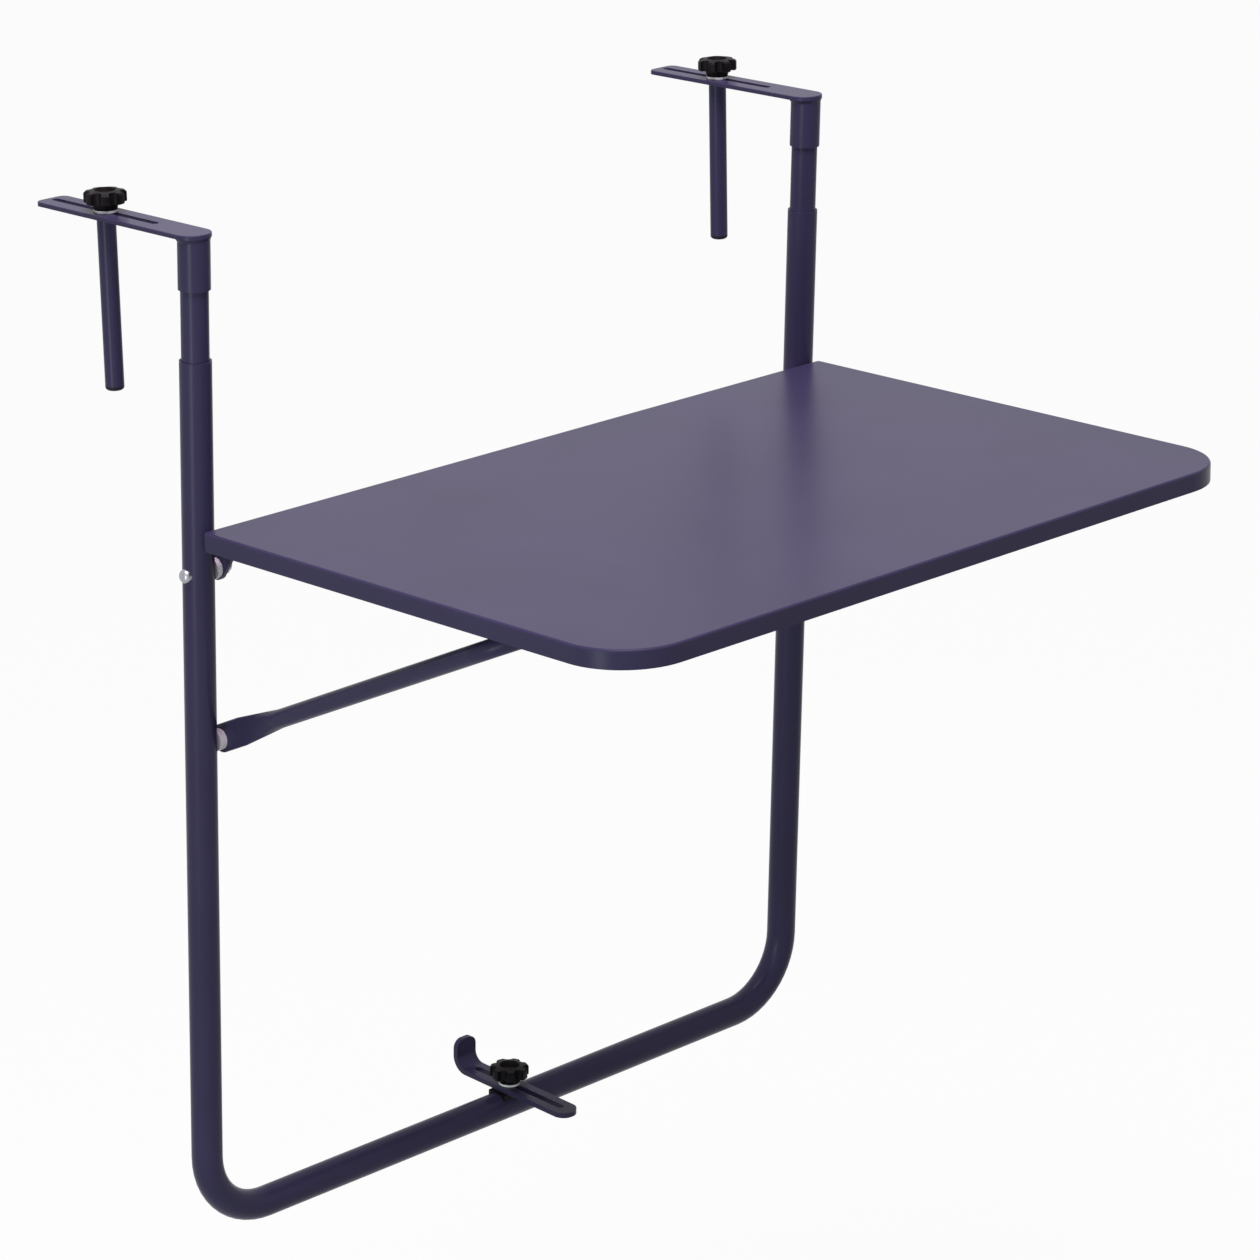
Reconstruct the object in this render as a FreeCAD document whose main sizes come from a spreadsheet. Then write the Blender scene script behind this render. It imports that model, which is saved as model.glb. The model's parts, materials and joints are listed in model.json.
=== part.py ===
"""Folding balcony table that hangs on a railing.

X runs along the rail, +Y points to the rail, Z is up. The origin lies midway between the two
hook plates, on the axis plane of the uprights, level with the undersides that rest on the rail.
The hook plates and the tabletop are level; the uprights lean, with their lower end nearer the rail.
Pieces on the uprights are drawn upright, with heights measured along the uprights, and then leant.
Lengths are in millimetres, angles in degrees.
"""

import FreeCAD, Part
import math
import os
import re
import Sketcher
from FreeCAD import Placement, Rotation, Vector

SIZES = {
    # U-shaped frame tube
    "lean": 2.7,
    "upright_overhang": 3.5,
    "tube_diameter": 22,
    "tube_wall": 1.2,
    "bend_radius": 53,
    "frame_height": 636,
    # telescoping hook heads
    "slide_clearance": 0.3,
    "extension_wall": 1.2,
    "extension_show": 49,
    "extension_insert": 92,
    "sleeve_length": 35.5,
    "weld_height": 4,
    "hook_width": 26,
    "hook_thickness": 3,
    "hook_reach": 152,
    "hook_tip_radius": 6,
    "hook_edge_radius": 0.8,
    "hook_nose_overhang": 0.6,
    "hook_slot_start": 37,
    "hook_slot_end": 147,
    # clamp rods
    "rod_diameter": 13,
    "rod_wall": 1.2,
    "rod_length": 117,
    "rod_position": 91,
    "rod_insert_length": 18,
    "rod_plug_stem": 9,
    "rod_plug_cap": 3,
    "clamp_gap": 0.1,
    # star knobs with their studs and washers
    "knob_diameter": 29,
    "knob_lobes": 7,
    "knob_flute_radius": 3.6,
    "knob_flute_depth": 4.2,
    "knob_height": 13.3,
    "knob_crown": 1,
    "knob_edge": 1.2,
    "knob_skirt_diameter": 15.6,
    "knob_skirt_flare": 1.4,
    "knob_skirt_height": 4.6,
    "knob_dish_diameter": 15,
    "knob_dish_depth": 3.2,
    "stud_diameter": 5,
    "stud_clearance": 0.05,
    "stud_socket": 7,
    "stud_engagement": 13,
    "stud_point": 1,
    "slot_clearance": 0.3,
    "washer_diameter": 16.4,
    "washer_thickness": 1.6,
    # pressed tabletop
    "table_drop": 200,
    "table_width": 600,
    "table_depth": 400,
    "table_gap": 2.6,
    "rim_height": 13.3,
    "sheet_thickness": 1,
    "front_corner_radius": 49,
    "rear_corner_radius": 3,
    "edge_radius": 1.8,
    "stiffener_margin": 40,
    "stiffener_web": 46,
    "stiffener_flange": 10,
    "stiffener_height": 10,
    # tabletop hinge
    "hinge_drop": 33,
    "hinge_spacer": 4,
    "ear_thickness": 3,
    "ear_end_radius": 8.5,
    "ear_neck": 6,
    "ear_slope": 37,
    "ear_reach": 40,
    "ear_flange": 22,
    "ear_clearance": 0.9,
    "pivot_diameter": 6,
    "pivot_clearance": 0.05,
    "spacer_diameter": 15,
    "head_diameter": 10,
    "head_height": 3.6,
    "head_edge": 0.4,
    "head_skirt": 1.5,
    "nut_width": 10,
    "nut_height": 6,
    "nut_collar": 1.5,
    "bolt_end": 1.5,
    # support bail
    "bail_pivot_drop": 157,
    "bail_length": 320,
    "bail_diameter": 13,
    "bail_wall": 1.2,
    "bail_side_gap": 1,
    "bail_bend_radius": 36,
    "bail_flat_width": 20,
    "bail_flat_thickness": 3,
    "bail_flat_length": 24,
    "bail_taper": 46,
    "bail_insert_diameter": 9,
    "bail_insert_length": 11,
    # catches that the bail's crossbar rests in
    "catch_position": 150,
    "catch_width": 22,
    "catch_clearance": 0.6,
    "catch_wall": 3.5,
    "catch_roof": 5.5,
    "catch_foot": 18,
    "catch_foot_thickness": 5,
    "catch_exit_angle": 27,
    "catch_screw_diameter": 4,
    "catch_screw_head": 7.5,
    "catch_screw_head_height": 2.2,
    # lower hook on the cross tube
    "saddle_crown": 0.6,
    "saddle_length": 26,
    "saddle_width": 17,
    "saddle_depth": 5,
    "lower_width": 19,
    "lower_thickness": 4,
    "lower_front": 67.5,
    "lower_back": 51,
    "lower_tab": 25,
    "lower_bend_radius": 8.5,
    "lower_tab_radius": 7,
    "lower_end_radius": 9,
    "lower_slot_margin": 10,
    "lower_slot_back": 36.5,
    "lower_insert_diameter": 9,
    "lower_insert_length": 14,
}

doc = FreeCAD.newDocument("folding_balcony_table")
sheet = doc.addObject("Spreadsheet::Sheet", "sizes")
for row, (name, value) in enumerate(SIZES.items(), start=1):
    sheet.set(f"A{row}", name)
    sheet.set(f"B{row}", str(value))
    sheet.setAlias(f"B{row}", name)
doc.recompute()

# Lengths and levels that follow from the sizes.
TUBE_R = "(tube_diameter / 2)"
TUBE_BORE_R = "(tube_diameter / 2 - tube_wall)"
HALF = f"(table_width / 2 + upright_overhang - {TUBE_R})"
INNER_X = f"({HALF} - {TUBE_R})"
EXTENSION_R = f"({TUBE_BORE_R} - slide_clearance)"
NOSE_Y = f"(hook_width / 2 - {TUBE_R} - hook_nose_overhang)"
STUD_R = "(stud_diameter / 2)"
STUD_BORE_R = f"({STUD_R} + stud_clearance)"
SLOT_R = f"({STUD_R} + slot_clearance)"
ROD_BORE_R = "(rod_diameter / 2 - rod_wall)"
KNOB_Z = "(hook_thickness + clamp_gap + washer_thickness)"
TABLE_Z = "(-table_drop)"
SHEET_Z = f"({TABLE_Z} - sheet_thickness)"
RIM_Z = f"({TABLE_Z} - rim_height)"
REAR_Y = f"(table_drop * tan(lean) - {TUBE_R} / cos(lean) - table_gap)"
FRONT_Y = f"({REAR_Y} - table_depth)"
HINGE_Z = f"({TABLE_Z} - hinge_drop)"
HINGE_Y = f"(-{HINGE_Z} * tan(lean))"
PIVOT_R = "(pivot_diameter / 2)"
PIVOT_BORE_R = f"({PIVOT_R} + pivot_clearance)"
EAR_X = f"({INNER_X} - hinge_spacer)"
BAIL_Z = f"({TABLE_Z} - bail_pivot_drop)"
BAIL_Y = f"(-{BAIL_Z} * tan(lean))"
BAIL_R = "(bail_diameter / 2)"
BAIL_X = f"({INNER_X} - bail_side_gap - {BAIL_R})"
BAIL_FACE_X = f"({BAIL_X} + bail_flat_thickness / 2)"
WEB_Z = f"({SHEET_Z} - stiffener_height)"
BAR_Z = f"({WEB_Z} - catch_roof - catch_clearance - {BAIL_R})"
BAIL_RISE = f"({BAR_Z} - {BAIL_Z})"
BAR_Y = f"({BAIL_Y} - sqrt(bail_length ^ 2 - {BAIL_RISE} ^ 2))"
SCREW_Y = f"({BAR_Y} + {BAIL_R} + catch_wall + catch_foot / 2)"
SCREW_BORE_R = "(catch_screw_diameter / 2 + pivot_clearance)"

# Heights along the leaning uprights, below the hook plates.
UPRIGHT_TOP = "(-sleeve_length - extension_show)"
FOOT_UP = f"({UPRIGHT_TOP} - frame_height)"
HINGE_UP = f"({HINGE_Z} / cos(lean))"
BAIL_UP = f"({BAIL_Z} / cos(lean))"
LOWER_UP = f"({FOOT_UP} + {TUBE_R} + saddle_crown + clamp_gap)"


def expr(text):
    """Point each size name in an expression at its cell."""
    return re.sub(r"[a-z_]+", lambda m: "sizes." + m[0] if m[0] in SIZES else m[0], text)


def num(text):
    return float(sheet.evalExpression(expr(text)))


def new_body(label):
    body = doc.addObject("PartDesign::Body", label)
    body.Label = label
    return body


def sketch(body, plane, lift="0"):
    """Sketch on an origin plane, lifted along the plane's normal."""
    flat = body.newObject("Sketcher::SketchObject", "Sketch")
    support = next(f for f in body.Origin.OriginFeatures if f.Role == plane)
    flat.AttachmentSupport = [(support, "")]
    flat.MapMode = "FlatFace"
    flat.setExpression("AttachmentOffset.Base.z", expr(lift))
    return flat


def dimension(flat, text, *constraint):
    index = flat.addConstraint(Sketcher.Constraint(*constraint, num(text)))
    flat.setExpression(f"Constraints[{index}]", expr(text))


def hold(flat, geometry, point, x, y):
    """Fix a point of the sketch at (x, y)."""
    for kind, axis, text in (("DistanceX", -2, x), ("DistanceY", -1, y)):
        if text == "0":
            flat.addConstraint(Sketcher.Constraint("PointOnObject", geometry, point, axis))
        else:
            dimension(flat, text, kind, -1, 1, geometry, point)


def polygon(flat, points):
    corners = [Vector(num(x), num(y), 0) for x, y in points]
    first = flat.GeometryCount
    count = len(corners)
    for i in range(count):
        flat.addGeometry(Part.LineSegment(corners[i], corners[(i + 1) % count]), False)
    for i in range(count):
        following = first + (i + 1) % count
        flat.addConstraint(Sketcher.Constraint("Coincident", first + i, 2, following, 1))
    for i, (x, y) in enumerate(points):
        hold(flat, first + i, 1, x, y)


def rectangle(flat, x0, y0, x1, y1):
    polygon(flat, [(x0, y0), (x1, y0), (x1, y1), (x0, y1)])


def circle(flat, x, y, radius):
    centre = Vector(num(x), num(y), 0)
    index = flat.addGeometry(Part.Circle(centre, Vector(0, 0, 1), num(radius)), False)
    hold(flat, index, 3, x, y)
    dimension(flat, radius, "Radius", index)


def slot(flat, start, end, radius):
    """Round-ended slot between two centres."""
    normal = Vector(0, 0, 1)
    r = num(radius)
    a = Vector(num(start[0]), num(start[1]), 0)
    b = Vector(num(end[0]), num(end[1]), 0)
    turn = math.atan2(b.y - a.y, b.x - a.x)
    side = Vector(-math.sin(turn), math.cos(turn), 0) * r
    quarter = math.pi / 2
    arc_a = Part.ArcOfCircle(Part.Circle(a, normal, r), turn + quarter, turn + 3 * quarter)
    arc_b = Part.ArcOfCircle(Part.Circle(b, normal, r), turn - quarter, turn + quarter)
    first = flat.addGeometry(arc_a, False)
    last = flat.addGeometry(arc_b, False)
    upper = flat.addGeometry(Part.LineSegment(a + side, b + side), False)
    lower = flat.addGeometry(Part.LineSegment(a - side, b - side), False)
    for ends in ((first, 1, upper, 1), (upper, 2, last, 2), (last, 1, lower, 2), (lower, 1, first, 2)):
        flat.addConstraint(Sketcher.Constraint("Tangent", *ends))
    flat.addConstraint(Sketcher.Constraint("Equal", first, last))
    hold(flat, first, 3, *start)
    hold(flat, last, 3, *end)
    dimension(flat, radius, "Radius", first)


def tongue(flat, x, height, radius):
    """Strip standing on the X axis, with a round tip about (x, height)."""
    middle, top, r = num(x), num(height), num(radius)
    foot_left, foot_right = Vector(middle - r, 0, 0), Vector(middle + r, 0, 0)
    rise = Vector(0, top, 0)
    ring_at_tip = Part.Circle(Vector(middle, top, 0), Vector(0, 0, 1), r)
    left = flat.addGeometry(Part.LineSegment(foot_left, foot_left + rise), False)
    tip = flat.addGeometry(Part.ArcOfCircle(ring_at_tip, 0, math.pi), False)
    right = flat.addGeometry(Part.LineSegment(foot_right + rise, foot_right), False)
    base = flat.addGeometry(Part.LineSegment(foot_right, foot_left), False)
    flat.addConstraint(Sketcher.Constraint("Tangent", left, 2, tip, 2))
    flat.addConstraint(Sketcher.Constraint("Tangent", tip, 1, right, 1))
    flat.addConstraint(Sketcher.Constraint("Coincident", right, 2, base, 1))
    flat.addConstraint(Sketcher.Constraint("Coincident", base, 2, left, 1))
    flat.addConstraint(Sketcher.Constraint("PointOnObject", right, 2, -1))
    flat.addConstraint(Sketcher.Constraint("Horizontal", base))
    flat.addConstraint(Sketcher.Constraint("Vertical", left))
    hold(flat, tip, 3, x, height)
    dimension(flat, radius, "Radius", tip)


def u_path(flat, half, open_end, closed_end, radius):
    """Path down one leg, round a bend, across and up the other leg."""
    w, top, bottom, r = num(half), num(open_end), num(closed_end), num(radius)
    up = 1 if top > bottom else -1
    normal = Vector(0, 0, 1)
    bend = bottom + up * r
    left_turn = (math.pi, 1.5 * math.pi) if up > 0 else (0.5 * math.pi, math.pi)
    right_turn = (1.5 * math.pi, 2 * math.pi) if up > 0 else (0, 0.5 * math.pi)
    left_leg = flat.addGeometry(Part.LineSegment(Vector(-w, top, 0), Vector(-w, bend, 0)), False)
    left_arc = flat.addGeometry(
        Part.ArcOfCircle(Part.Circle(Vector(-w + r, bend, 0), normal, r), *left_turn), False)
    base = flat.addGeometry(Part.LineSegment(Vector(-w + r, bottom, 0), Vector(w - r, bottom, 0)), False)
    right_arc = flat.addGeometry(
        Part.ArcOfCircle(Part.Circle(Vector(w - r, bend, 0), normal, r), *right_turn), False)
    right_leg = flat.addGeometry(Part.LineSegment(Vector(w, bend, 0), Vector(w, top, 0)), False)
    entry, leave = (1, 2) if up > 0 else (2, 1)
    flat.addConstraint(Sketcher.Constraint("Tangent", left_leg, 2, left_arc, entry))
    flat.addConstraint(Sketcher.Constraint("Tangent", left_arc, leave, base, 1))
    flat.addConstraint(Sketcher.Constraint("Tangent", base, 2, right_arc, entry))
    flat.addConstraint(Sketcher.Constraint("Tangent", right_arc, leave, right_leg, 1))
    flat.addConstraint(Sketcher.Constraint("Vertical", left_leg))
    flat.addConstraint(Sketcher.Constraint("Equal", left_arc, right_arc))
    hold(flat, left_leg, 1, f"-{half}", open_end)
    hold(flat, right_leg, 2, half, open_end)
    dimension(flat, closed_end, "DistanceY", -1, 1, base, 1)
    dimension(flat, radius, "Radius", left_arc)


def pad(body, flat, length, symmetric=False, reverse=False):
    feature = body.newObject("PartDesign::Pad", "Pad")
    feature.Profile = flat
    feature.setExpression("Length", expr(length))
    feature.SideType = "Symmetric" if symmetric else "One side"
    feature.Reversed = reverse
    return feature


def pocket(body, flat, length=None, symmetric=False, reverse=False):
    """Cut a sketch into its body, right through when no length is given."""
    doc.recompute()
    before = body.Shape.Volume
    feature = body.newObject("PartDesign::Pocket", "Pocket")
    feature.Profile = flat
    if length is None:
        feature.Type = "ThroughAll"
    else:
        feature.setExpression("Length", expr(length))
    feature.SideType = "Symmetric" if symmetric else "One side"
    feature.Reversed = reverse
    doc.recompute()
    if body.Shape.Volume > before - 1e-6:
        raise RuntimeError(f"a pocket in {body.Label} cuts nothing")
    return feature


def revolve(body, points):
    """Turn a profile of (radius, height) corners about the body's Z axis."""
    flat = sketch(body, "XZ_Plane")
    polygon(flat, points)
    feature = body.newObject("PartDesign::Revolution", "Revolution")
    feature.Profile = flat
    feature.ReferenceAxis = (flat, ["V_Axis"])
    feature.Angle = 360
    return feature


def ring(label, bore, radius, low, high):
    body = new_body(label)
    revolve(body, [(bore, low), (radius, low), (radius, high), (bore, high)])
    return body


def round_edges(body, feature, wanted, radius):
    """Fillet the edges of a feature that pass a test."""
    doc.recompute()
    edges = enumerate(feature.Shape.Edges, start=1)
    names = [f"Edge{i}" for i, edge in edges if wanted(edge)]
    if not names:
        raise RuntimeError(f"no edge to round in {body.Label}")
    fillet = body.newObject("PartDesign::Fillet", "Fillet")
    fillet.Base = (feature, names)
    fillet.setExpression("Radius", expr(radius))
    return fillet


def near(value, text):
    return abs(value - num(text)) < 1e-4


def upright_edge_at(x, y):
    """Test for a vertical edge at (x, y)."""
    def test(edge):
        box = edge.BoundBox
        slim = box.XLength < 1e-4 and box.YLength < 1e-4
        return slim and near(box.XMin, x) and near(box.YMin, y)
    return test


def cross_edge_at(y, z):
    """Test for an edge along X at (y, z)."""
    def test(edge):
        box = edge.BoundBox
        slim = box.YLength < 1e-4 and box.ZLength < 1e-4
        return slim and near(box.YMin, y) and near(box.ZMin, z)
    return test


def level_edge_at(z):
    """Test for an edge that lies wholly at one height."""
    def test(edge):
        return near(edge.BoundBox.ZMin, z) and near(edge.BoundBox.ZMax, z)
    return test


def place(body, x="0", y="0", z="0", rotation=Rotation()):
    body.Placement = Placement(Vector(num(x), num(y), num(z)), rotation)
    for axis, text in zip("xyz", (x, y, z)):
        body.setExpression(f"Placement.Base.{axis}", expr(text))
    return body


def turn(piece, angle):
    """Turn a piece about X by an angle worked out from the sizes."""
    piece.Placement.Rotation = Rotation(Vector(1, 0, 0), num(angle))
    piece.setExpression("Placement.Rotation.Angle", expr(angle))
    return piece


def place_leaning(body, x, up):
    """Put a body on the leaning uprights, at a height along them."""
    return turn(place(body, x, f"-{up} * sin(lean)", f"{up} * cos(lean)"), "lean")


def mirror(source, label):
    twin = doc.addObject("Part::Mirroring", label)
    twin.Label = label
    twin.Source = source
    twin.Normal = Vector(1, 0, 0)
    return twin


def group(label, members):
    several = doc.addObject("Part::Compound", label)
    several.Label = label
    several.Links = members
    return several


def both_sides(body, label):
    """A fastener of the left side and its twin, as one node."""
    return group(label, [body, mirror(body, body.Label + "_twin")])


def both_uprights(body, label):
    """A fastener drawn upright on the left side and its twin, leant as one node."""
    return turn(both_sides(body, label), "lean")


nodes = []


def keep(*pieces):
    nodes.extend(pieces)


def keep_pair(body, name):
    body.Label = "left_" + name
    keep(body, mirror(body, "right_" + name))


ALONG_X = Rotation(Vector(0, 1, 0), 90)


def make_frame_tube():
    body = new_body("frame_tube")
    spine = sketch(body, "XZ_Plane")
    u_path(spine, HALF, UPRIGHT_TOP, FOOT_UP, "bend_radius")
    section = sketch(body, "XY_Plane", UPRIGHT_TOP)
    circle(section, f"-{HALF}", "0", TUBE_R)
    circle(section, f"-{HALF}", "0", TUBE_BORE_R)
    pipe = body.newObject("PartDesign::AdditivePipe", "Pipe")
    pipe.Profile = section
    pipe.Spine = (spine, [])
    hinge_holes = sketch(body, "YZ_Plane")
    circle(hinge_holes, "0", HINGE_UP, PIVOT_BORE_R)
    pocket(body, hinge_holes, symmetric=True)
    bail_holes = sketch(body, "YZ_Plane")
    circle(bail_holes, "0", BAIL_UP, "bail_insert_diameter / 2")
    pocket(body, bail_holes, f"2 * {HALF}", symmetric=True)
    lower_hole = sketch(body, "XY_Plane", FOOT_UP)
    circle(lower_hole, "0", "0", "lower_insert_diameter / 2")
    pocket(body, lower_hole, "tube_diameter", reverse=True)
    return turn(body, "lean")


def make_extension_tube():
    """Inner tube that slides in an upright; its square end stays clear of the level plate."""
    top = f"(-{EXTENSION_R} * tan(lean) - clamp_gap)"
    bottom = f"({UPRIGHT_TOP} - extension_insert)"
    body = ring("extension_tube", f"{EXTENSION_R} - extension_wall", EXTENSION_R, bottom, top)
    return place_leaning(body, f"-{HALF}", "0")


def make_hook_sleeve():
    """Outer sleeve under a hook plate, with its weld and its top end cut level."""
    body = new_body("hook_sleeve")
    crest = "(hook_width * tan(lean))"
    revolve(body, [
        (TUBE_BORE_R, crest),
        (TUBE_R, crest),
        (TUBE_R, "-sleeve_length"),
        (TUBE_BORE_R, "-sleeve_length"),
    ])
    toe = sketch(body, "XY_Plane", "-weld_height")
    circle(toe, "0", "0", f"{TUBE_R} - tube_wall / 2")
    brim = sketch(body, "XY_Plane", crest)
    circle(brim, "0", NOSE_Y, "hook_width / 2")
    weld = body.newObject("PartDesign::AdditiveLoft", "Weld")
    weld.Profile = toe
    weld.Sections = [brim]
    bore = sketch(body, "XY_Plane")
    circle(bore, "0", "0", TUBE_BORE_R)
    pocket(body, bore, symmetric=True)
    above = sketch(body, "YZ_Plane")
    polygon(above, [
        ("-hook_width", crest),
        ("hook_width", f"-{crest}"),
        ("hook_width", "hook_width"),
        ("-hook_width", "hook_width"),
    ])
    pocket(body, above, symmetric=True)
    return place_leaning(body, f"-{HALF}", "0")


def make_hook_plate():
    """Flat bar with a round nose over the sleeve and a long slot for the clamp rod."""
    body = new_body("hook_plate")
    nose = sketch(body, "XY_Plane")
    circle(nose, "0", NOSE_Y, "hook_width / 2")
    pad(body, nose, "hook_thickness")
    bar = sketch(body, "XY_Plane")
    rectangle(bar, "-hook_width / 2", NOSE_Y, "hook_width / 2", "hook_reach")
    bar_pad = pad(body, bar, "hook_thickness")
    left_tip = upright_edge_at("-hook_width / 2", "hook_reach")
    right_tip = upright_edge_at("hook_width / 2", "hook_reach")
    outline = round_edges(body, bar_pad, lambda e: left_tip(e) or right_tip(e), "hook_tip_radius")
    round_edges(body, outline, level_edge_at("hook_thickness"), "hook_edge_radius")
    opening = sketch(body, "XY_Plane")
    slot(opening, ("0", f"hook_slot_start + {SLOT_R}"), ("0", f"hook_slot_end - {SLOT_R}"), SLOT_R)
    pocket(body, opening, symmetric=True)
    return place(body, f"-{HALF}")


def make_clamp_rod():
    rod = ring("clamp_rod", ROD_BORE_R, "rod_diameter / 2", "-rod_length", "0")
    insert = ring("rod_insert", STUD_BORE_R, ROD_BORE_R, "-rod_insert_length", "0")
    plug = new_body("rod_plug")
    turned = revolve(plug, [
        ("0", "-rod_plug_cap"),
        ("rod_diameter / 2", "-rod_plug_cap"),
        ("rod_diameter / 2", "0"),
        (ROD_BORE_R, "0"),
        (ROD_BORE_R, "rod_plug_stem"),
        ("0", "rod_plug_stem"),
    ])
    round_edges(plug, turned, level_edge_at("-rod_plug_cap"), "rod_plug_cap * 0.8")
    place(rod, f"-{HALF}", "rod_position", "-clamp_gap")
    place(insert, f"-{HALF}", "rod_position", "-clamp_gap")
    place(plug, f"-{HALF}", "rod_position", "-clamp_gap - rod_length")
    return rod, insert, plug


def make_knob(label):
    """Star knob with fluted sides, a dished top and a skirt that bears on the washer."""
    body = new_body(label)
    rim = "(knob_diameter / 2)"
    dish = "(knob_height - knob_dish_depth)"
    revolve(body, [
        (STUD_BORE_R, "0"),
        ("knob_skirt_diameter / 2", "0"),
        ("knob_skirt_diameter / 2 + knob_skirt_flare", "knob_skirt_height"),
        (f"{rim} - knob_edge / 2", "knob_skirt_height"),
        (rim, "knob_skirt_height + knob_edge / 2"),
        (rim, "knob_height - knob_crown - knob_edge"),
        (f"{rim} - knob_edge", "knob_height - knob_crown"),
        ("knob_dish_diameter / 2", "knob_height"),
        ("knob_dish_diameter / 2 - knob_dish_depth / 2", dish),
        ("0", dish),
        ("0", "stud_socket"),
        (STUD_BORE_R, "stud_socket"),
    ])
    groove = sketch(body, "XY_Plane")
    circle(groove, f"{rim} - knob_flute_depth + knob_flute_radius", "0", "knob_flute_radius")
    flute = pocket(body, groove, symmetric=True)
    flutes = body.newObject("PartDesign::PolarPattern", "Flutes")
    flutes.Originals = [flute]
    flutes.Axis = (groove, ["N_Axis"])
    flutes.Angle = 360
    flutes.setExpression("Occurrences", expr("knob_lobes"))
    body.Tip = flutes
    return body


def make_stud(label, grip):
    """Threaded stud that is fixed in a knob and runs down through what it clamps."""
    body = new_body(label)
    tip = f"(-({grip}) - stud_engagement)"
    revolve(body, [
        ("0", tip),
        (f"{STUD_R} - stud_point", tip),
        (STUD_R, f"{tip} + stud_point"),
        (STUD_R, "stud_socket"),
        ("0", "stud_socket"),
    ])
    return body


def make_washer(label):
    return ring(label, SLOT_R, "washer_diameter / 2", "0", "washer_thickness")


def make_clamp_knob():
    washer = place(make_washer("knob_washer"), f"-{HALF}", "rod_position", "hook_thickness + clamp_gap")
    knob = place(make_knob("star_knob"), f"-{HALF}", "rod_position", KNOB_Z)
    grip = f"{KNOB_Z} + clamp_gap"
    stud = place(make_stud("knob_stud", grip), f"-{HALF}", "rod_position", KNOB_Z)
    return washer, knob, stud


def make_tabletop():
    """Pressed sheet with a turned-down rim, large front corners and tight rear ones."""
    body = new_body("tabletop")
    side = "table_width / 2"
    outline = sketch(body, "XY_Plane", RIM_Z)
    rectangle(outline, f"-{side}", FRONT_Y, side, REAR_Y)
    block = pad(body, outline, "rim_height")
    for y, radius in ((FRONT_Y, "front_corner_radius"), (REAR_Y, "rear_corner_radius")):
        left = upright_edge_at(f"-{side}", y)
        right = upright_edge_at(side, y)
        block = round_edges(body, block, lambda e: left(e) or right(e), radius)
    block = round_edges(body, block, level_edge_at(TABLE_Z), "edge_radius")
    doc.recompute()
    faces = enumerate(block.Shape.Faces, start=1)
    bottom = next(i for i, f in faces if near(f.BoundBox.ZMax, RIM_Z))
    shell = body.newObject("PartDesign::Thickness", "Shell")
    shell.Base = (block, [f"Face{bottom}"])
    shell.setExpression("Value", expr("sheet_thickness"))
    shell.Reversed = True
    return body


def make_stiffener():
    """Pressed hat channel under the sheet, above the bail's crossbar."""
    body = new_body("tabletop_stiffener")
    wall = "sheet_thickness"
    rear = f"({BAR_Y} + {BAIL_R} + catch_wall + catch_foot)"
    front = f"({rear} - stiffener_web)"
    section = sketch(body, "YZ_Plane")
    polygon(section, [
        (f"{rear} + stiffener_flange", SHEET_Z),
        (f"{rear} - {wall}", SHEET_Z),
        (f"{rear} - {wall}", f"{WEB_Z} + {wall}"),
        (f"{front} + {wall}", f"{WEB_Z} + {wall}"),
        (f"{front} + {wall}", SHEET_Z),
        (f"{front} - stiffener_flange", SHEET_Z),
        (f"{front} - stiffener_flange", f"{SHEET_Z} - {wall}"),
        (front, f"{SHEET_Z} - {wall}"),
        (front, WEB_Z),
        (rear, WEB_Z),
        (rear, f"{SHEET_Z} - {wall}"),
        (f"{rear} + stiffener_flange", f"{SHEET_Z} - {wall}"),
    ])
    pad(body, section, "table_width - 2 * stiffener_margin", symmetric=True)
    return body


def make_hinge_ear():
    """Angle bracket: a flange under the sheet and a tapered ear down to the pivot."""
    body = new_body("hinge_ear")
    inside_rim = f"({REAR_Y} - sheet_thickness - ear_clearance)"
    below_rim = f"({RIM_Z} - ear_clearance)"
    front = f"({inside_rim} - ear_reach)"
    round_r = "ear_end_radius"
    ear = sketch(body, "YZ_Plane", f"-{EAR_X}")
    polygon(ear, [
        (inside_rim, SHEET_Z),
        (front, SHEET_Z),
        (front, f"{SHEET_Z} - ear_thickness"),
        (f"{inside_rim} - ear_neck", below_rim),
        (f"{HINGE_Y} - {round_r} * cos(ear_slope)", f"{HINGE_Z} - {round_r} * sin(ear_slope)"),
        (f"{HINGE_Y} + {round_r}", HINGE_Z),
        (HINGE_Y, below_rim),
        (inside_rim, below_rim),
    ])
    pad(body, ear, "ear_thickness")
    end = sketch(body, "YZ_Plane", f"-{EAR_X}")
    circle(end, HINGE_Y, HINGE_Z, round_r)
    pad(body, end, "ear_thickness")
    flange = sketch(body, "XY_Plane", SHEET_Z)
    rectangle(flange, f"-{EAR_X}", front, f"-{EAR_X} + ear_flange", inside_rim)
    pad(body, flange, "ear_thickness", reverse=True)
    hole = sketch(body, "YZ_Plane")
    circle(hole, HINGE_Y, HINGE_Z, PIVOT_BORE_R)
    pocket(body, hole, symmetric=True)
    return body


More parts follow.
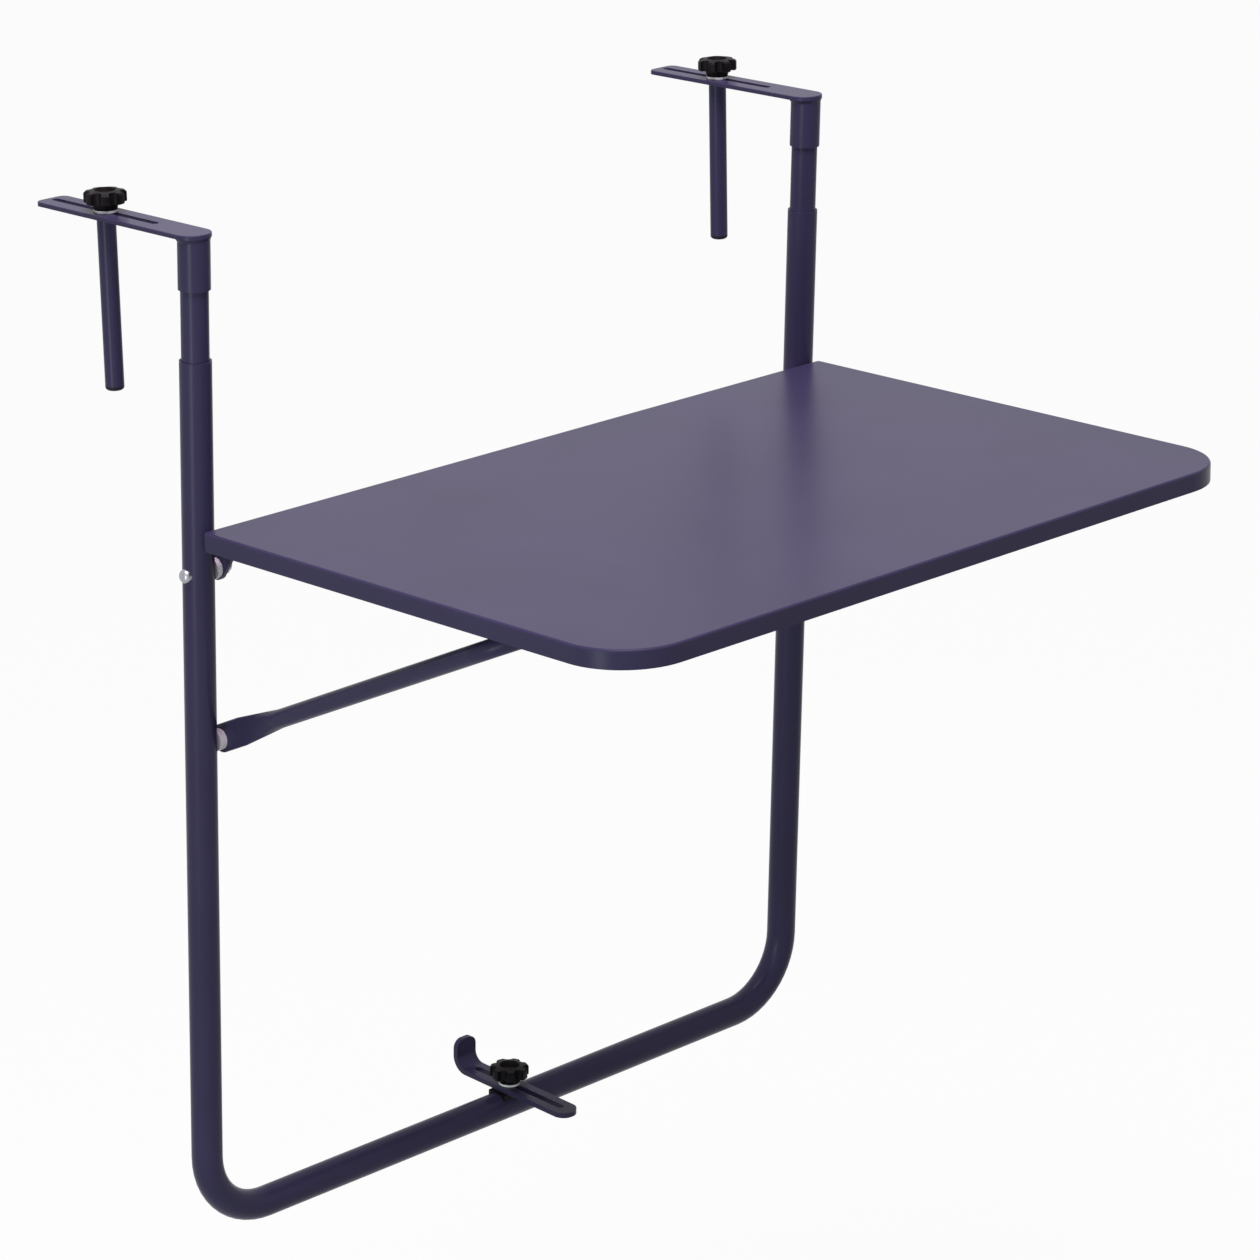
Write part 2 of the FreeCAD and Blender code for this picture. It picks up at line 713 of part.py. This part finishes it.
def make_hinge_bolt():
    """Domed bolt across an upright, its head hollowed to sit on the round of the tube."""
    body = new_body("hinge_bolt")
    head_r = "head_diameter / 2"
    head = revolve(body, [
        ("0", "-head_height"),
        (head_r, "-head_height"),
        (head_r, "head_skirt"),
        ("0", "head_skirt"),
    ])
    round_edges(body, head, level_edge_at("-head_height"), "head_height - head_edge")
    seat = sketch(body, "YZ_Plane")
    circle(seat, "0", TUBE_R, TUBE_R)
    pocket(body, seat, symmetric=True)
    shank = sketch(body, "XY_Plane", "-head_height / 2")
    circle(shank, "0", "0", PIVOT_R)
    grip = "tube_diameter + hinge_spacer + ear_thickness + nut_height + nut_collar + bolt_end"
    pad(body, shank, f"head_height / 2 + {grip}")
    return place(body, f"-{HALF} - {TUBE_R}", "0", HINGE_UP, ALONG_X)


def make_hinge_nut():
    """Hexagon lock nut with a round collar on its outer end."""
    body = new_body("hinge_nut")
    flat = "nut_width / 2"
    corner = f"({flat} / cos(30))"
    outline = sketch(body, "XY_Plane")
    polygon(outline, [
        (f"{corner} * cos({60 * i + 30})", f"{corner} * sin({60 * i + 30})") for i in range(6)
    ])
    pad(body, outline, "nut_height")
    collar = sketch(body, "XY_Plane", "nut_height")
    circle(collar, "0", "0", f"{flat} * 0.9")
    pad(body, collar, "nut_collar")
    bore = sketch(body, "XY_Plane")
    circle(bore, "0", "0", PIVOT_BORE_R)
    pocket(body, bore, symmetric=True)
    return place(body, f"-{EAR_X} + ear_thickness", "0", HINGE_UP, ALONG_X)


def make_pivot_spacer(label, length, up):
    body = ring(label, PIVOT_BORE_R, "spacer_diameter / 2", "0", length)
    return place(body, f"-{INNER_X}", "0", up, ALONG_X)


def make_bail():
    """Bent tube whose arms are pressed flat and drilled where they pivot on the uprights."""
    body = new_body("support_bail")
    tube_start = "(bail_flat_length + bail_taper)"
    spine = sketch(body, "XY_Plane")
    u_path(spine, BAIL_X, tube_start, "bail_length", "bail_bend_radius")
    section = sketch(body, "XZ_Plane", f"-{tube_start}")
    circle(section, f"-{BAIL_X}", "0", BAIL_R)
    circle(section, f"-{BAIL_X}", "0", f"{BAIL_R} - bail_wall")
    pipe = body.newObject("PartDesign::AdditivePipe", "Pipe")
    pipe.Profile = section
    pipe.Spine = (spine, [])
    doc.recompute()
    edge_r = "(bail_flat_thickness / 2)"
    edge_up = f"(bail_flat_width / 2 - {edge_r})"
    for arm_x in (f"-{BAIL_X}", BAIL_X):
        wide = sketch(body, "XZ_Plane", f"-{tube_start}")
        circle(wide, arm_x, "0", BAIL_R)
        flat = sketch(body, "XZ_Plane", "-bail_flat_length")
        slot(flat, (arm_x, f"-{edge_up}"), (arm_x, edge_up), edge_r)
        taper = body.newObject("PartDesign::AdditiveLoft", "Taper")
        taper.Profile = wide
        taper.Sections = [flat]
        pad(body, flat, "bail_flat_length")
        half = sketch(body, "XZ_Plane")
        tongue(half, arm_x, edge_up, edge_r)
        end = body.newObject("PartDesign::Revolution", "End")
        end.Profile = half
        end.ReferenceAxis = (half, ["H_Axis"])
        end.Angle = 180
    hole = sketch(body, "YZ_Plane")
    circle(hole, "0", "0", PIVOT_BORE_R)
    pocket(body, hole, symmetric=True)
    angle = f"(180 - asin({BAIL_RISE} / bail_length) / 1 deg)"
    return turn(place(body, "0", BAIL_Y, BAIL_Z), angle)


def make_bail_bolt():
    """Domed screw from the inner side through the arm and spacer into the upright's insert."""
    body = new_body("bail_bolt")
    head_r = "head_diameter / 2"
    head = revolve(body, [
        ("0", "0"),
        (head_r, "0"),
        (head_r, "head_height"),
        ("0", "head_height"),
    ])
    round_edges(body, head, level_edge_at("head_height"), "head_height - head_edge")
    shank = sketch(body, "XY_Plane", "head_height / 2")
    circle(shank, "0", "0", PIVOT_R)
    reach = f"(bail_flat_thickness + {INNER_X} - {BAIL_FACE_X} + bail_insert_length)"
    pad(body, shank, f"head_height / 2 + {reach}", reverse=True)
    return place(body, f"-{BAIL_FACE_X} + bail_flat_thickness", "0", BAIL_UP, ALONG_X)


def make_bail_insert():
    """Threaded insert in the inner wall of an upright."""
    body = ring("bail_insert", PIVOT_BORE_R, "bail_insert_diameter / 2", "-bail_insert_length", "0")
    return place(body, f"-{INNER_X}", "0", BAIL_UP, ALONG_X)


def make_catch():
    """Moulded catch under the stiffener, open towards the way the crossbar leaves."""
    body = new_body("bail_catch")
    seat = f"({BAIL_R} + catch_clearance)"
    back = f"({BAR_Y} + {seat} + catch_wall)"
    rear = f"({back} + catch_foot - catch_clearance)"
    under = f"({BAR_Z} - {seat} - catch_wall)"
    block = sketch(body, "YZ_Plane", "-catch_position")
    polygon(block, [
        (rear, WEB_Z),
        (f"{BAR_Y} - {seat} - catch_wall", WEB_Z),
        (f"{BAR_Y} - {seat} - catch_wall", BAR_Z),
        (f"{BAR_Y} + catch_wall", under),
        (f"{back} - catch_wall", under),
        (back, f"{under} + catch_wall"),
        (back, f"{WEB_Z} - catch_foot_thickness"),
        (rear, f"{WEB_Z} - catch_foot_thickness"),
    ])
    pad(body, block, "catch_width", symmetric=True)
    mouth = sketch(body, "YZ_Plane", "-catch_position")
    away = "(4 * bail_diameter)"
    end_y = f"{BAR_Y} - {away} * cos(catch_exit_angle)"
    end_z = f"{BAR_Z} - {away} * sin(catch_exit_angle)"
    slot(mouth, (BAR_Y, BAR_Z), (end_y, end_z), seat)
    pocket(body, mouth, symmetric=True)
    screw_hole = sketch(body, "XY_Plane", WEB_Z)
    circle(screw_hole, "-catch_position", SCREW_Y, SCREW_BORE_R)
    pocket(body, screw_hole, symmetric=True)
    return body


def make_catch_screw():
    body = new_body("catch_screw")
    foot = "(-catch_foot_thickness)"
    head = revolve(body, [
        ("0", "0"),
        ("catch_screw_diameter / 2", "0"),
        ("catch_screw_diameter / 2", foot),
        ("catch_screw_head / 2", foot),
        ("catch_screw_head / 2", f"{foot} - catch_screw_head_height"),
        ("0", f"{foot} - catch_screw_head_height"),
    ])
    crown = level_edge_at(f"{foot} - catch_screw_head_height")
    round_edges(body, head, crown, "catch_screw_head_height / 2")
    return place(body, "-catch_position", SCREW_Y, WEB_Z)


def make_saddle():
    """Moulded seat between the cross tube and the lower hook."""
    body = new_body("lower_saddle")
    top = f"({TUBE_R} + saddle_crown)"
    block = sketch(body, "XY_Plane", top)
    rectangle(block, "-saddle_length / 2", "-saddle_width / 2", "saddle_length / 2", "saddle_width / 2")
    pad(body, block, "saddle_crown + saddle_depth", reverse=True)
    tube = sketch(body, "YZ_Plane")
    circle(tube, "0", "0", TUBE_R)
    pocket(body, tube, symmetric=True)
    hole = sketch(body, "XY_Plane")
    circle(hole, "0", "0", SLOT_R)
    pocket(body, hole, symmetric=True)
    return place_leaning(body, "0", FOOT_UP)


def make_lower_insert():
    """Threaded insert in the cross tube, its rim level with the edge of its hole."""
    radius = "(lower_insert_diameter / 2)"
    body = ring("lower_insert", STUD_BORE_R, radius, "-lower_insert_length", "0")
    return place_leaning(body, "0", f"({FOOT_UP} + sqrt({TUBE_R} ^ 2 - {radius} ^ 2))")


def make_lower_hook():
    """Slotted strip over the cross tube with its rail end turned up."""
    body = new_body("lower_hook")
    strip = sketch(body, "YZ_Plane")
    polygon(strip, [
        ("-lower_front", "0"),
        ("lower_back", "0"),
        ("lower_back", "lower_tab"),
        ("lower_back - lower_thickness", "lower_tab"),
        ("lower_back - lower_thickness", "lower_thickness"),
        ("-lower_front", "lower_thickness"),
    ])
    feature = pad(body, strip, "lower_width", symmetric=True)
    inner = cross_edge_at("lower_back - lower_thickness", "lower_thickness")
    outer = cross_edge_at("lower_back", "0")
    feature = round_edges(body, feature, inner, "lower_bend_radius")
    feature = round_edges(body, feature, outer, "lower_bend_radius + lower_thickness")
    side = "lower_width / 2"
    left = upright_edge_at(f"-{side}", "-lower_front")
    right = upright_edge_at(side, "-lower_front")
    feature = round_edges(body, feature, lambda e: left(e) or right(e), "lower_end_radius")

    def tab_corner(edge):
        box = edge.BoundBox
        across = box.XLength < 1e-4 and box.ZLength < 1e-4
        return across and near(box.ZMin, "lower_tab") and box.YLength > 1

    round_edges(body, feature, tab_corner, "lower_tab_radius")
    opening = sketch(body, "XY_Plane")
    slot(opening, ("0", f"-lower_front + lower_slot_margin + {SLOT_R}"),
         ("0", f"lower_slot_back - {SLOT_R}"), SLOT_R)
    pocket(body, opening, symmetric=True)
    return place_leaning(body, "0", LOWER_UP)


def make_lower_knob():
    washer_up = f"({LOWER_UP} + lower_thickness + clamp_gap)"
    knob_up = f"({washer_up} + washer_thickness)"
    grip = "washer_thickness + lower_thickness + 2 * clamp_gap + saddle_crown"
    washer = place_leaning(make_washer("lower_washer"), "0", washer_up)
    knob = place_leaning(make_knob("lower_knob"), "0", knob_up)
    stud = place_leaning(make_stud("lower_stud", grip), "0", knob_up)
    return washer, knob, stud


def build():
    keep(make_frame_tube())
    keep_pair(make_extension_tube(), "extension_tube")
    keep_pair(make_hook_sleeve(), "hook_sleeve")
    keep_pair(make_hook_plate(), "hook_plate")
    for piece in (*make_clamp_rod(), *make_clamp_knob()):
        keep_pair(piece, piece.Label)
    keep(make_tabletop(), make_stiffener())
    keep_pair(make_hinge_ear(), "hinge_ear")
    hinge_spacer = make_pivot_spacer("hinge_spacer_left", "hinge_spacer", HINGE_UP)
    keep(both_uprights(make_hinge_bolt(), "hinge_bolts"))
    keep(both_uprights(make_hinge_nut(), "hinge_nuts"))
    keep(both_uprights(hinge_spacer, "hinge_spacers"))
    bail_spacer = make_pivot_spacer("bail_spacer_left", f"{INNER_X} - {BAIL_FACE_X}", BAIL_UP)
    keep(both_uprights(bail_spacer, "bail_spacers"))
    keep(make_bail())
    keep(both_uprights(make_bail_bolt(), "bail_bolts"))
    keep(both_uprights(make_bail_insert(), "bail_inserts"))
    keep(both_sides(make_catch(), "bail_catches"), both_sides(make_catch_screw(), "catch_screws"))
    keep(make_saddle(), make_lower_insert(), make_lower_hook(), *make_lower_knob())
    doc.recompute()


def check_and_export():
    for item in doc.Objects:
        if "Invalid" in item.State or "Error" in item.State:
            raise RuntimeError(f"{item.Label} failed: {item.State}")
    for piece in nodes:
        if piece.Shape.isNull() or not piece.Shape.isValid():
            raise RuntimeError(f"{piece.Label} has no valid shape")
    os.makedirs("parts", exist_ok=True)
    for piece in nodes:
        piece.Shape.exportStep(f"parts/{piece.Label}.step")


build()
check_and_export()
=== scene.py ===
"""Looks of the folding balcony table: finishes, studio light and the camera."""

import bpy
import json
import math
from mathutils import Matrix, Vector

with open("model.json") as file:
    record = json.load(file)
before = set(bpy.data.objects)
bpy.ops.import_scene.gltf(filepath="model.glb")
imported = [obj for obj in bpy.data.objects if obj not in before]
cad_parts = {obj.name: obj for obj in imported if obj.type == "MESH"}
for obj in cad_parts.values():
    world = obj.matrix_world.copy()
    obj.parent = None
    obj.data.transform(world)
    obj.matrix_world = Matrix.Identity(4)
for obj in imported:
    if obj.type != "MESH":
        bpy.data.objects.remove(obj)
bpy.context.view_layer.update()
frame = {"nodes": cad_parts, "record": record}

# Camera: its place in metres, its direction, and its film and lens in millimetres.
CAMERA_PLACE = Vector((-2.2437, -2.3914, 0.7241))
CAMERA_AZIMUTH = math.radians(-44.443)
CAMERA_ELEVATION = math.radians(18.028)
CAMERA_ROLL = math.radians(-0.991)
SENSOR_WIDTH = 36.0
LENS = 137.23
CLIP_END = 100.0

# Floor, in metres. The hook plates lie on a rail that is this far above it.
RAIL_HEIGHT = 1.0
FLOOR_SIZE = 40.0
FLOOR_ROUGHNESS = 0.9

# The floor and the backdrop are white where they are seen, and darker as sources of soft light.
FLOOR_TONE_SEEN = 0.85
FLOOR_TONE_SOFT = 0.35
FLOOR_GLOW_SHARE = 0.95
BACKDROP_SEEN = 0.96
BACKDROP_SOFT = 0.2

# Point that the lamps face, in metres: the middle of the table.
MIDDLE = Vector((0.0, -0.15, -0.3))

# Most values of a noise texture lie between these two.
NOISE_LOW = 0.3
NOISE_HIGH = 0.7

# Darker and lighter tone of each finish, as linear colours.
COAT_TONES = ((0.039, 0.0355, 0.081), (0.0455, 0.041, 0.095))
BLACK_TONES = ((0.006, 0.0048, 0.006), (0.010, 0.008, 0.0095))
PLUG_TONES = ((0.022, 0.021, 0.034), (0.030, 0.028, 0.044))
ZINC_TONES = ((0.32, 0.32, 0.36), (0.44, 0.44, 0.48))
NYLON_TONES = ((0.88, 0.87, 0.91), (0.94, 0.93, 0.96))

# Refraction of the finishes whose gloss is weaker than the shader's default.
COAT_IOR = 1.2
PLASTIC_IOR = 1.15


def new_material(name):
    """A node material with a principled shader; returns it with its nodes, links and shader."""
    material = bpy.data.materials.new(name)
    material.use_nodes = True
    tree = material.node_tree
    return material, tree.nodes, tree.links, tree.nodes["Principled BSDF"]


def noise(nodes, links, scale, detail, roughness=0.5):
    """Noise in object space, with its scale in waves per metre."""
    place = nodes.new("ShaderNodeTexCoord")
    texture = nodes.new("ShaderNodeTexNoise")
    texture.inputs["Scale"].default_value = scale
    texture.inputs["Detail"].default_value = detail
    texture.inputs["Roughness"].default_value = roughness
    links.new(place.outputs["Object"], texture.inputs["Vector"])
    return texture.outputs["Fac"]


def spread(nodes, links, value, low, high):
    """Map noise to a range of numbers."""
    node = nodes.new("ShaderNodeMapRange")
    node.inputs["From Min"].default_value = NOISE_LOW
    node.inputs["From Max"].default_value = NOISE_HIGH
    node.inputs["To Min"].default_value = low
    node.inputs["To Max"].default_value = high
    links.new(value, node.inputs["Value"])
    return node.outputs["Result"]


def two_tone(nodes, links, value, tones):
    """Map noise to colours between a darker and a lighter tone."""
    ramp = nodes.new("ShaderNodeValToRGB")
    for element, position, tone in zip(ramp.color_ramp.elements, (NOISE_LOW, NOISE_HIGH), tones):
        element.position = position
        element.color = (*tone, 1.0)
    links.new(value, ramp.inputs["Fac"])
    return ramp.outputs["Color"]


def bump(nodes, links, height, distance, strength, below=None):
    """Surface relief from noise, in metres, on top of the relief below it."""
    node = nodes.new("ShaderNodeBump")
    node.inputs["Strength"].default_value = strength
    node.inputs["Distance"].default_value = distance
    links.new(height, node.inputs["Height"])
    if below is not None:
        links.new(below, node.inputs["Normal"])
    return node.outputs["Normal"]


def powder_coat():
    """Satin powder coat: dark violet-grey with a fine grain over a soft orange peel."""
    material, nodes, links, shader = new_material("powder_coat")
    grain = noise(nodes, links, scale=2600.0, detail=3.0, roughness=0.6)
    peel = noise(nodes, links, scale=420.0, detail=2.0)
    cloud = noise(nodes, links, scale=9.0, detail=3.0)
    links.new(two_tone(nodes, links, cloud, COAT_TONES), shader.inputs["Base Color"])
    links.new(spread(nodes, links, grain, low=0.28, high=0.36), shader.inputs["Roughness"])
    peeled = bump(nodes, links, peel, distance=0.00003, strength=0.35)
    grained = bump(nodes, links, grain, distance=0.00002, strength=0.3, below=peeled)
    links.new(grained, shader.inputs["Normal"])
    shader.inputs["IOR"].default_value = COAT_IOR
    return material


def moulded_plastic(name, tones):
    """Moulded dark plastic with a fine spark-eroded grain."""
    material, nodes, links, shader = new_material(name)
    grain = noise(nodes, links, scale=3200.0, detail=2.0)
    flow = noise(nodes, links, scale=120.0, detail=3.0)
    links.new(two_tone(nodes, links, flow, tones), shader.inputs["Base Color"])
    links.new(spread(nodes, links, grain, low=0.36, high=0.48), shader.inputs["Roughness"])
    links.new(bump(nodes, links, grain, distance=0.00004, strength=0.3), shader.inputs["Normal"])
    shader.inputs["IOR"].default_value = PLASTIC_IOR
    return material


def zinc_plate():
    """Bright zinc plating with a faint spangle."""
    material, nodes, links, shader = new_material("zinc_plate")
    spangle = noise(nodes, links, scale=700.0, detail=3.0)
    links.new(two_tone(nodes, links, spangle, ZINC_TONES), shader.inputs["Base Color"])
    links.new(spread(nodes, links, spangle, low=0.28, high=0.42), shader.inputs["Roughness"])
    links.new(bump(nodes, links, spangle, distance=0.00002, strength=0.2), shader.inputs["Normal"])
    shader.inputs["Metallic"].default_value = 1.0
    return material


def white_nylon():
    """Off-white nylon of the washers and spacers."""
    material, nodes, links, shader = new_material("white_nylon")
    grain = noise(nodes, links, scale=1500.0, detail=3.0)
    links.new(two_tone(nodes, links, grain, NYLON_TONES), shader.inputs["Base Color"])
    links.new(spread(nodes, links, grain, low=0.35, high=0.45), shader.inputs["Roughness"])
    links.new(bump(nodes, links, grain, distance=0.00002, strength=0.2), shader.inputs["Normal"])
    return material


def dress_nodes():
    """Give every node the finish of its material slot, and the rod plugs a bluer plastic of their own."""
    finishes = {
        "coated_steel": powder_coat(),
        "black_plastic": moulded_plastic("black_plastic", BLACK_TONES),
        "zinc_steel": zinc_plate(),
        "white_nylon": white_nylon(),
    }
    plug_finish = moulded_plastic("plug_plastic", PLUG_TONES)
    for part in frame["record"]["subparts"]:
        is_plug = part["node"].endswith("rod_plug")
        material = plug_finish if is_plug else finishes[part["material_slot"]]
        for slot in frame["nodes"][part["node"]].material_slots:
            slot.material = material


def camera_turn():
    """Rotation of the camera: its right, up and back directions as columns."""
    azimuth, elevation, roll = CAMERA_AZIMUTH, CAMERA_ELEVATION, CAMERA_ROLL
    back = Vector((
        math.sin(azimuth) * math.cos(elevation),
        -math.cos(azimuth) * math.cos(elevation),
        math.sin(elevation),
    ))
    level = Vector((math.cos(azimuth), math.sin(azimuth), 0.0))
    rise = back.cross(level)
    right = level * math.cos(roll) + rise * math.sin(roll)
    up = rise * math.cos(roll) - level * math.sin(roll)
    return Matrix((right, up, back)).transposed()


def add_camera():
    """Camera at the photograph's place and angle."""
    data = bpy.data.cameras.new("camera")
    data.sensor_fit = "HORIZONTAL"
    data.sensor_width = SENSOR_WIDTH
    data.lens = LENS
    data.clip_end = CLIP_END
    camera = bpy.data.objects.new("camera", data)
    camera.matrix_world = Matrix.Translation(CAMERA_PLACE) @ camera_turn().to_4x4()
    bpy.context.scene.collection.objects.link(camera)
    bpy.context.scene.camera = camera


def seen_directly(nodes, links):
    """1 for rays from the camera, off gloss or through glass; 0 for soft light."""
    path = nodes.new("ShaderNodeLightPath")
    seen = path.outputs["Is Camera Ray"]
    for name in ("Is Glossy Ray", "Is Transmission Ray"):
        node = nodes.new("ShaderNodeMath")
        node.operation = "MAXIMUM"
        links.new(seen, node.inputs[0])
        links.new(path.outputs[name], node.inputs[1])
        seen = node.outputs[0]
    return seen


def seen_or_soft(nodes, links, seen, soft, direct):
    """One number where a surface is seen directly, and another where it gives soft light."""
    node = nodes.new("ShaderNodeMapRange")
    node.inputs["To Min"].default_value = soft
    node.inputs["To Max"].default_value = seen
    links.new(direct, node.inputs["Value"])
    return node.outputs["Result"]


def white_floor():
    """White floor that mostly glows where it is seen, and still takes a little of the table's shadow."""
    material, nodes, links, shader = new_material("white_floor")
    direct = seen_directly(nodes, links)
    tone = seen_or_soft(nodes, links, FLOOR_TONE_SEEN, FLOOR_TONE_SOFT, direct)
    links.new(tone, shader.inputs["Base Color"])
    shader.inputs["Roughness"].default_value = FLOOR_ROUGHNESS
    glow = nodes.new("ShaderNodeEmission")
    share = nodes.new("ShaderNodeMath")
    share.operation = "MULTIPLY"
    share.inputs[1].default_value = FLOOR_GLOW_SHARE
    links.new(direct, share.inputs[0])
    mix = nodes.new("ShaderNodeMixShader")
    links.new(share.outputs[0], mix.inputs["Fac"])
    links.new(shader.outputs["BSDF"], mix.inputs[1])
    links.new(glow.outputs["Emission"], mix.inputs[2])
    links.new(mix.outputs["Shader"], nodes["Material Output"].inputs["Surface"])
    return material


def add_floor():
    """Square floor below the hanging table."""
    half = FLOOR_SIZE / 2
    outline = ((-half, -half), (half, -half), (half, half), (-half, half))
    corners = [(x, y, -RAIL_HEIGHT) for x, y in outline]
    mesh = bpy.data.meshes.new("floor")
    mesh.from_pydata(corners, [], [(0, 1, 2, 3)])
    mesh.materials.append(white_floor())
    floor = bpy.data.objects.new("floor", mesh)
    bpy.context.scene.collection.objects.link(floor)


def add_world():
    """Backdrop: white to the eye, weaker as a light."""
    world = bpy.data.worlds.new("studio")
    bpy.context.scene.world = world
    world.use_nodes = True
    nodes, links = world.node_tree.nodes, world.node_tree.links
    direct = seen_directly(nodes, links)
    strength = seen_or_soft(nodes, links, BACKDROP_SEEN, BACKDROP_SOFT, direct)
    background = nodes["Background"]
    background.inputs["Color"].default_value = (1.0, 1.0, 1.0, 1.0)
    links.new(strength, background.inputs["Strength"])


def add_softbox(name, place, width, height, power, colour):
    """Rectangular lamp that faces the table's middle and isn't seen itself."""
    data = bpy.data.lights.new(name, "AREA")
    data.color = colour
    data.shape = "RECTANGLE"
    data.size = width
    data.size_y = height
    data.energy = power
    lamp = bpy.data.objects.new(name, data)
    lamp.location = place
    lamp.rotation_euler = (MIDDLE - Vector(place)).to_track_quat("-Z", "Y").to_euler()
    lamp.visible_camera = False
    bpy.context.scene.collection.objects.link(lamp)


def add_lights():
    """A large lamp overhead, a small low one that streaks the tubes, and a weak one beside the camera."""
    add_softbox("overhead", place=(-0.55, -0.6, 2.4), width=1.6, height=1.6,
                power=95.0, colour=(1.0, 0.78, 0.93))
    add_softbox("key", place=(-2.4, -0.66, -0.6), width=0.5, height=0.7,
                power=14.8, colour=(0.88, 1.0, 0.95))
    add_softbox("fill", place=(-2.4, -1.7, 0.35), width=0.8, height=0.8,
                power=7.2, colour=(0.92, 1.0, 0.97))


dress_nodes()
add_camera()
add_floor()
add_world()
add_lights()
bpy.context.scene.view_settings.view_transform = "Standard"
